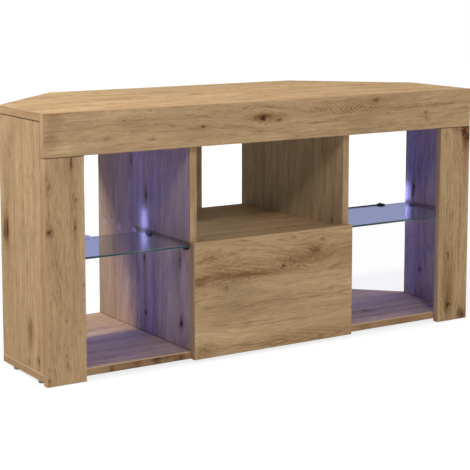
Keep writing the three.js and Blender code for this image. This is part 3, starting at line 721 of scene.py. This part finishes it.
# Plastics: colour, colour where rubbed, roughness and sheen
PLASTICS = {
    "dark_plastic": (srgb(22, 21, 24), srgb(46, 44, 48), 0.5, 0.3),
    # Painted light: the left LED clip is pale blue-white where the right one is dark
    "pale_plastic": (srgb(206, 210, 236), srgb(226, 228, 244), 0.3, 0.5),
    "glide_plastic": (srgb(150, 140, 124), srgb(172, 163, 148), 0.5, 0.5),
    "lead_sheath": (srgb(24, 24, 27), srgb(48, 48, 52), 0.55, 0.5),
    "cap_plastic": (srgb(184, 156, 128), srgb(198, 172, 144), 0.5, 0.5),
    "roller_plastic": (srgb(228, 226, 220), srgb(204, 200, 192), 0.35, 0.5),
}
PLASTIC_CLOUD_RANGE = (0.3, 0.7, 0.0, 0.35)
PLASTIC_RUB_RANGE = (0.56, 0.74, 0.0, 0.42)
PLASTIC_ROUGH_SHARE = 0.25
PLASTIC_BUMP_SHARE = 0.25
PLASTIC_BUMP_DEPTH = 0.00012


def plastic(name):
    """Moulded plastic with a fine skin, cloudy colour and a few paler rubbed places."""
    colour, worn, plain_roughness, sheen = PLASTICS[name]
    material, graph = new_graph(name)
    place = object_place(graph)
    cloud = part_noise(graph, "plastic_cloud", place)
    skin = part_noise(graph, "plastic_skin", place)
    rubbed = part_noise(graph, "plastic_rub", place)
    colour = colour_mix(graph, fade(graph, cloud, *PLASTIC_CLOUD_RANGE), colour, worn)
    colour = colour_mix(graph, fade(graph, rubbed, *PLASTIC_RUB_RANGE), colour, worn)
    roughness = calc(graph, "MULTIPLY_ADD", centred(graph, skin), PLASTIC_ROUGH_SHARE, plain_roughness)
    normal = bumped(graph, skin, PLASTIC_BUMP_SHARE, PLASTIC_BUMP_DEPTH)
    finish_surface(graph, principled(graph, colour, roughness, normal, {"Specular IOR Level": sheen}))
    return material


# Steel
STEEL_PALE = srgb(205, 207, 208)
STEEL_DULL = srgb(172, 174, 174)
STEEL_LINE = srgb(150, 151, 150)
STEEL_PATCH_RANGE = (0.35, 0.7)
STEEL_LINE_RANGE = (0.45, 0.75, 0.0, 0.4)
STEEL_ROUGHNESS = 0.25
STEEL_LINE_ROUGH_SHARE = 0.22
STEEL_PATCH_ROUGH_SHARE = 0.12
STEEL_BUMP_SHARE = 0.2
STEEL_BUMP_DEPTH = 0.00005


def steel(name, lines_name):
    """Zinc-plated steel with fine drawn lines along one axis, and duller patches."""
    material, graph = new_graph(name)
    place = object_place(graph)
    lines = part_noise(graph, lines_name, place)
    patches = part_noise(graph, "steel_patches", place)
    colour = colour_mix(graph, fade(graph, patches, *STEEL_PATCH_RANGE), STEEL_PALE, STEEL_DULL)
    colour = colour_mix(graph, fade(graph, lines, *STEEL_LINE_RANGE), colour, STEEL_LINE)
    roughness = calc(graph, "MULTIPLY_ADD", lines, STEEL_LINE_ROUGH_SHARE, STEEL_ROUGHNESS)
    roughness = calc(graph, "MULTIPLY_ADD", patches, STEEL_PATCH_ROUGH_SHARE, roughness)
    normal = bumped(graph, lines, STEEL_BUMP_SHARE, STEEL_BUMP_DEPTH)
    finish_surface(graph, principled(graph, colour, roughness, normal, {"Metallic": 1.0}))
    return material


# Melamine of the drawer box
FOIL_PALE = srgb(226, 222, 215)
FOIL_DULL = srgb(205, 199, 189)
FOIL_WARM = srgb(212, 204, 190)
FOIL_STREAK_RANGE = (0.35, 0.7)
FOIL_CLOUD_RANGE = (0.4, 0.75, 0.0, 0.3)
FOIL_ROUGHNESS = 0.42
FOIL_ROUGH_SHARE = 0.2
FOIL_BUMP_SHARE = 0.2
FOIL_BUMP_DEPTH = 0.0001


def drawer_foil():
    """Pale melamine board with a faint woven print and warmer clouds."""
    material, graph = new_graph("drawer_board")
    place = object_place(graph)
    streaks = part_noise(graph, "foil_streaks", place)
    threads = part_noise(graph, "foil_threads", place)
    cloud = part_noise(graph, "foil_cloud", place)
    colour = colour_mix(graph, fade(graph, streaks, *FOIL_STREAK_RANGE), FOIL_PALE, FOIL_DULL)
    colour = colour_mix(graph, fade(graph, cloud, *FOIL_CLOUD_RANGE), colour, FOIL_WARM)
    roughness = calc(graph, "MULTIPLY_ADD", threads, FOIL_ROUGH_SHARE, FOIL_ROUGHNESS)
    normal = bumped(graph, threads, FOIL_BUMP_SHARE, FOIL_BUMP_DEPTH)
    finish_surface(graph, principled(graph, colour, roughness, normal))
    return material


# Hard fibreboard of the drawer's bottom
FIBRE_DARK = srgb(134, 100, 66)
FIBRE_LIGHT = srgb(172, 138, 98)
FIBRE_CLUMP = srgb(150, 114, 76)
FIBRE_FLECK = srgb(88, 60, 38)
FIBRE_RANGE = (0.35, 0.65)
FIBRE_CLUMP_RANGE = (0.4, 0.7, 0.0, 0.4)
FIBRE_FLECK_RANGE = (0.66, 0.78, 0.0, 0.6)
FIBRE_ROUGHNESS = 0.5
FIBRE_ROUGH_SHARE = 0.3
FIBRE_BUMP_SHARE = 0.35
FIBRE_BUMP_DEPTH = 0.0002


def fibreboard():
    """Hard fibreboard: brown felted fibres with clumps and dark flecks."""
    material, graph = new_graph("fibreboard")
    place = object_place(graph)
    fibres = part_noise(graph, "fibres", place)
    clumps = part_noise(graph, "fibre_clumps", place)
    flecks = part_noise(graph, "fibre_flecks", place)
    colour = colour_mix(graph, fade(graph, fibres, *FIBRE_RANGE), FIBRE_DARK, FIBRE_LIGHT)
    colour = colour_mix(graph, fade(graph, clumps, *FIBRE_CLUMP_RANGE), colour, FIBRE_CLUMP)
    colour = colour_mix(graph, fade(graph, flecks, *FIBRE_FLECK_RANGE), colour, FIBRE_FLECK)
    roughness = calc(graph, "MULTIPLY_ADD", fibres, FIBRE_ROUGH_SHARE, FIBRE_ROUGHNESS)
    normal = bumped(graph, fibres, FIBRE_BUMP_SHARE, FIBRE_BUMP_DEPTH)
    finish_surface(graph, principled(graph, colour, roughness, normal))
    return material


# Small turned pieces, each in the place of its plain CAD node: shares of the radius and of the length
TURN_STEPS = 56
SHARP_TURN = math.radians(38)
CAP_SECTION_SHARES = [
    (0, 0), (1, 0), (1, 0.30), (0.97, 0.62), (0.90, 0.86), (0.78, 1), (0.36, 0.94), (0.30, 0.74), (0, 0.70),
]
GLIDE_SECTION_SHARES = [
    (0, 0), (0.74, 0), (0.88, 0.04), (0.97, 0.14), (1, 0.30), (1, 0.56), (0.94, 0.68), (0.72, 0.76),
    (0.66, 0.84), (0.66, 1), (0, 1),
]
ROLLER_SECTION_SHARES = [
    (0.32, 0.02), (0.52, 0.02), (0.56, 0.10), (0.80, 0.10), (0.84, 0.02), (0.94, 0.02), (1, 0.12),
    (1, 0.88), (0.94, 0.98), (0.84, 0.98), (0.80, 0.90), (0.56, 0.90), (0.52, 0.98), (0.32, 0.98),
]


def finish_piece(name, shell, material, body, node_name):
    """Makes an object with soft shading of the shape. It rides on its body in the CAD node's place."""
    bmesh.ops.recalc_face_normals(shell, faces=shell.faces)
    for face in shell.faces:
        face.smooth = True
    for edge in shell.edges:
        edge.smooth = edge.is_manifold and edge.calc_face_angle() < SHARP_TURN
    mesh = bpy.data.meshes.new(name)
    shell.to_mesh(mesh)
    shell.free()
    mesh.materials.append(material)
    piece = bpy.data.objects.new(name, mesh)
    scene.collection.objects.link(piece)
    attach(piece, body)
    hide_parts(node_name)


def turned(section, radius, base, reach):
    """A body turned round the line from base along reach."""
    shell = bmesh.new()
    turn = reach.to_track_quat("Z", "Y")
    rings = []
    for width, level in section:
        middle = base + reach * level
        if width == 0:
            rings.append([shell.verts.new(middle)])
            continue
        ring = []
        for step in range(TURN_STEPS):
            angle = FULL_CIRCLE * step / TURN_STEPS
            spoke = Vector((math.cos(angle), math.sin(angle), 0)) * width * radius
            ring.append(shell.verts.new(middle + turn @ spoke))
        rings.append(ring)
    pairs = list(zip(rings, rings[1:]))
    if section[0][0] > 0:
        pairs.append((rings[-1], rings[0]))
    for first, second in pairs:
        for step in range(TURN_STEPS):
            after = (step + 1) % TURN_STEPS
            corners = [first[step % len(first)], first[after % len(first)],
                       second[after % len(second)], second[step % len(second)]]
            shell.faces.new(list(dict.fromkeys(corners)))
    return shell


def middle_and_size(name):
    low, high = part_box(name)
    return (low + high) / 2, high - low


def add_caps(material):
    for name in [n for n in nodes if "_screw_cap_" in n]:
        middle, size = middle_and_size(name)
        outward = Vector((math.copysign(size.x, middle.x), 0, 0))
        shell = turned(CAP_SECTION_SHARES, size.z / 2, middle - outward / 2, outward)
        finish_piece(name + "_dome", shell, material, "cabinet", name)


def add_glides(material):
    for name in [n for n in nodes if n.endswith("_glide")]:
        middle, size = middle_and_size(name)
        upward = Vector((0, 0, size.z))
        shell = turned(GLIDE_SECTION_SHARES, size.x / 2, middle - upward / 2, upward)
        finish_piece(name + "_foot", shell, material, "cabinet", name)


def add_rollers(material):
    for name in [n for n in nodes if n.endswith("_roller")]:
        middle, size = middle_and_size(name)
        sideways = Vector((size.x, 0, 0))
        shell = turned(ROLLER_SECTION_SHARES, size.z / 2, middle - sideways / 2, sideways)
        finish_piece(name + "_wheel", shell, material, name + "_body", name)


def dress(material, names):
    for name in names:
        mesh = nodes[name].data
        mesh.materials.clear()
        mesh.materials.append(material)


def dress_boards():
    for index, (name, facts) in enumerate(OAK_BOARDS.items()):
        dress(oak(name, seed=SEED_STEP * (index + 1), box=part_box(name), **facts), [name])


def dress_small_parts():
    ledges = [name for name in nodes if name.endswith("_ledge")]
    rails = [name for name in nodes if name.endswith("_rail")]
    screws = [name for name in nodes if "_shelf_screw_" in name]
    dress(plastic("dark_plastic"), ledges + ["right_light_clip", "light_driver_box"])
    # The left LED clip is given painted light
    dress(plastic("pale_plastic"), ["left_light_clip"])
    dress(plastic("lead_sheath"), ["left_light_lead", "right_light_lead"])
    dress(glass(), ["left_glass_shelf", "right_glass_shelf"])
    dress(steel("runner_steel", "steel_lines_along_y"), rails)
    dress(steel("screw_steel", "steel_lines_along_x"), screws)
    dress(drawer_foil(), ["drawer_left_side", "drawer_right_side", "drawer_back"])
    dress(fibreboard(), ["drawer_bottom"])
    add_glides(plastic("glide_plastic"))
    add_caps(plastic("cap_plastic"))
    add_rollers(plastic("roller_plastic"))


# Camera, floor, world and lamps

def add_camera():
    data = bpy.data.cameras.new("camera")
    data.lens = CAMERA_LENS
    data.shift_x = CAMERA_SHIFT_X
    data.shift_y = CAMERA_SHIFT_Y
    camera = bpy.data.objects.new("camera", data)
    camera.location = CAMERA_PLACE
    camera.rotation_euler = (math.pi / 2 + CAMERA_PITCH, 0, -CAMERA_YAW)
    scene.collection.objects.link(camera)
    scene.camera = camera


def staged(graph, kind, plain, seen):
    """Shows one shader to the camera and dim colours to mirrors and glass; the plain one lights the scene."""
    path = node(graph, "LightPath").outputs
    mirror = node(graph, kind, {"Color": MIRROR_COLOUR, "Strength": 1.0}).outputs[0]
    dusk = node(graph, kind, {"Color": DUSK_COLOUR, "Strength": 1.0}).outputs[0]
    mixed = plain
    for ray, shader in (("Is Glossy Ray", mirror), ("Is Transmission Ray", dusk), ("Is Camera Ray", seen)):
        mixed = node(graph, "MixShader", {0: path[ray], 1: mixed, 2: shader}).outputs[0]
    return mixed


def add_world():
    world = bpy.data.worlds.new("studio")
    world.use_nodes = True
    graph = world.node_tree
    graph.nodes.clear()
    ambient = node(graph, "Background", {"Color": WHITE, "Strength": WORLD_LEVEL}).outputs[0]
    white = node(graph, "Background", {"Color": WHITE, "Strength": 1.0}).outputs[0]
    node(graph, "OutputWorld", {"Surface": staged(graph, "Background", ambient, white)})
    scene.world = world


def add_floor():
    mesh = bpy.data.meshes.new("floor")
    half = FLOOR_SIZE / 2
    corners = [(x * half, y * half, -FLOOR_DROP) for x, y in ((-1, -1), (1, -1), (1, 1), (-1, 1))]
    mesh.from_pydata(corners, [], [(0, 1, 2, 3)])
    floor = bpy.data.objects.new("floor", mesh)
    scene.collection.objects.link(floor)
    material, graph = new_graph("floor")
    distance = vector_calc(graph, "LENGTH", object_place(graph))
    glow = fade(graph, distance, FLOOR_NEAR, FLOOR_FAR, FLOOR_GLOW_NEAR, 1.0)
    plain = node(graph, "BsdfDiffuse", {"Color": grey(FLOOR_ALBEDO)}).outputs[0]
    faint = node(graph, "BsdfDiffuse", {"Color": grey(FLOOR_SHADE_SHARE)}).outputs[0]
    light = node(graph, "Emission", {"Color": WHITE, "Strength": glow}).outputs[0]
    shown = node(graph, "AddShader", {0: faint, 1: light}).outputs[0]
    finish_surface(graph, staged(graph, "Emission", plain, shown))
    mesh.materials.append(material)


def lamp_power(level, distance):
    """The power of a lamp that makes a facing white surface at this distance this bright."""
    return level * math.pi ** 2 * distance ** 2


def add_lamp(name, place, aim, size, power, colour=WHITE[:3]):
    data = bpy.data.lights.new(name, "AREA")
    data.shape = "RECTANGLE"
    data.size, data.size_y = size
    data.energy = power
    data.color = colour
    lamp = bpy.data.objects.new(name, data)
    lamp.location = place
    lamp.rotation_euler = (Vector(aim) - Vector(place)).to_track_quat("-Z", "Y").to_euler()
    scene.collection.objects.link(lamp)
    return lamp


def hide_lamp(lamp):
    """The lamp lights things, but neither the camera nor mirrors and glass show it."""
    lamp.visible_camera = False
    lamp.visible_glossy = False
    lamp.visible_transmission = False


def add_studio_lamp(name, place, aim, size, level):
    distance = (Vector(aim) - Vector(place)).length
    lamp = add_lamp(name + "_lamp", place, aim, size, lamp_power(level, distance))
    lamp.visible_camera = False
    return lamp


def add_studio_lamps():
    for name, facts in LAMPS.items():
        add_studio_lamp(name, *facts)
    hide_lamp(add_studio_lamp("back", *BACK_LAMP))


def add_washes(side, low, high):
    """Washes over and under the glass shelf whose box has these two corners."""
    middle = (low.x + high.x) / 2
    width = high.x - low.x - 2 * WASH_GAP
    bays = {"over": (high.z + WASH_GAP, FASCIA_UNDER), "under": (BASE_TOP, low.z - WASH_GAP)}
    ways = {
        "forward": (high.y, -1, 1.0),
        "backward": (high.y, 1, WASH_BACK_SHARE),
        "inward": (low.y, 1, WASH_FRONT_SHARE),
    }
    for bay, (bottom, top) in bays.items():
        for way, (at, turn, share) in ways.items():
            place = Vector((middle, at, (bottom + top) / 2))
            aim = place + Vector((0, turn, 0))
            name = f"{side}_{bay}_{way}_wash"
            hide_lamp(add_lamp(name, place, aim, (width, top - bottom), WASH_POWER * share, WASH_COLOUR))


def add_spots(side, low, high, power):
    """Spots on the walls at both ends of the glass's back edge, over and under the glass."""
    spots = {
        "over": [high.z + rise for rise in SPOT_OVER],
        "under": [low.z - drop for drop in SPOT_UNDER],
    }
    for spot, heights in spots.items():
        size = (SPOT_WIDTH, abs(heights[1] - heights[0]))
        for end, wall, turn in (("low", low.x, -1), ("high", high.x, 1)):
            place = Vector((wall - turn * SPOT_WALL_GAP, high.y, sum(heights) / 2))
            aim = place + Vector((turn, 0, 0))
            hide_lamp(add_lamp(f"{side}_{spot}_{end}_spot", place, aim, size, power, SPOT_COLOUR))


def add_violet_light():
    for side, power in (("left", SPOT_POWER), ("right", SPOT_POWER * SPOT_RIGHT_SHARE)):
        low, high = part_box(side + "_glass_shelf")
        add_washes(side, low, high)
        add_spots(side, low, high, power)


def add_niche_light():
    low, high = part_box("left_divider")
    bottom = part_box("centre_shelf")[1].z
    place = Vector((high.x + NICHE_GAP, (low.y + high.y) / 2, (bottom + high.z) / 2))
    aim = place + Vector((1, 0, 0))
    size = (NICHE_REACH_SHARE * (high.y - low.y), NICHE_HEIGHT_SHARE * (high.z - bottom))
    hide_lamp(add_lamp("niche_lamp", place, aim, size, NICHE_POWER, NICHE_COLOUR))


add_camera()
add_world()
add_floor()
add_studio_lamps()
add_violet_light()
add_niche_light()
dress_boards()
dress_small_parts()

scene.view_settings.view_transform = "Standard"
